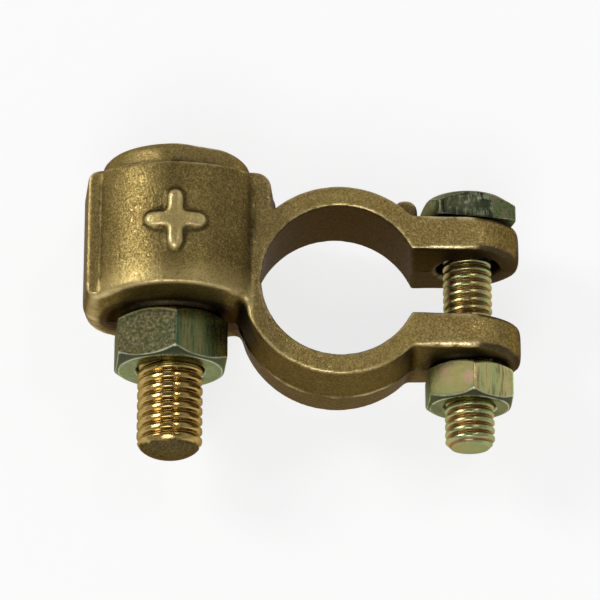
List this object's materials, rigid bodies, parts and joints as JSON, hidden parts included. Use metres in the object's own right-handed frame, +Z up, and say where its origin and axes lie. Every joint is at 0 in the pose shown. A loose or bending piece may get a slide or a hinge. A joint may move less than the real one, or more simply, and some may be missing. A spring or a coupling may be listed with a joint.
{
  "type": "battery terminal clamp",
  "caption": "Cast brass battery post clamp: a split tapered ring with ears drawn together by a square-headed bolt and nut, and a barrel marked plus with a threaded stud and nut for the cable.",
  "frame": {"origin": "on the axis of the post bore, at the casting's parting plane half way up the ring", "axes": "+Z up the post towards the bore's narrow end, +X towards the ears and their bolt, -Y along the stud towards its free end"},
  "size_m": [0.0525, 0.0369, 0.0225],
  "materials": {
    "cast_brass": "sand cast, tumbled",
    "plated_steel": "yellow zinc plated"
  },
  "bodies": {
    "casting": {"clamp_body": "cast_brass"},
    "stud_nut": {"stud_nut": "plated_steel"},
    "clamp_bolt": {"clamp_bolt": "plated_steel"},
    "clamp_nut": {"clamp_nut": "plated_steel"}
  },
  "joints": [
    {"name": "stud_nut_slide", "type": "slide", "parent": "casting", "child": "stud_nut", "axis": [0, -1, 0], "range_m": [0, 0.019]},
    {"name": "clamp_bolt_slide", "type": "slide", "parent": "casting", "child": "clamp_bolt", "axis": [0, 1, 0], "range_m": [0, 0.00492]},
    {"name": "clamp_nut_turn", "type": "hinge", "parent": "casting", "child": "clamp_nut", "pos_m": [0.0156, -0.0113, 0], "axis": [0, -1, 0], "range_deg": [0, 1770]}
  ],
  "couplings": [
    {"joint": "clamp_nut_turn", "follows": "clamp_bolt_slide", "rad_per_m": 6283.2}
  ]
}
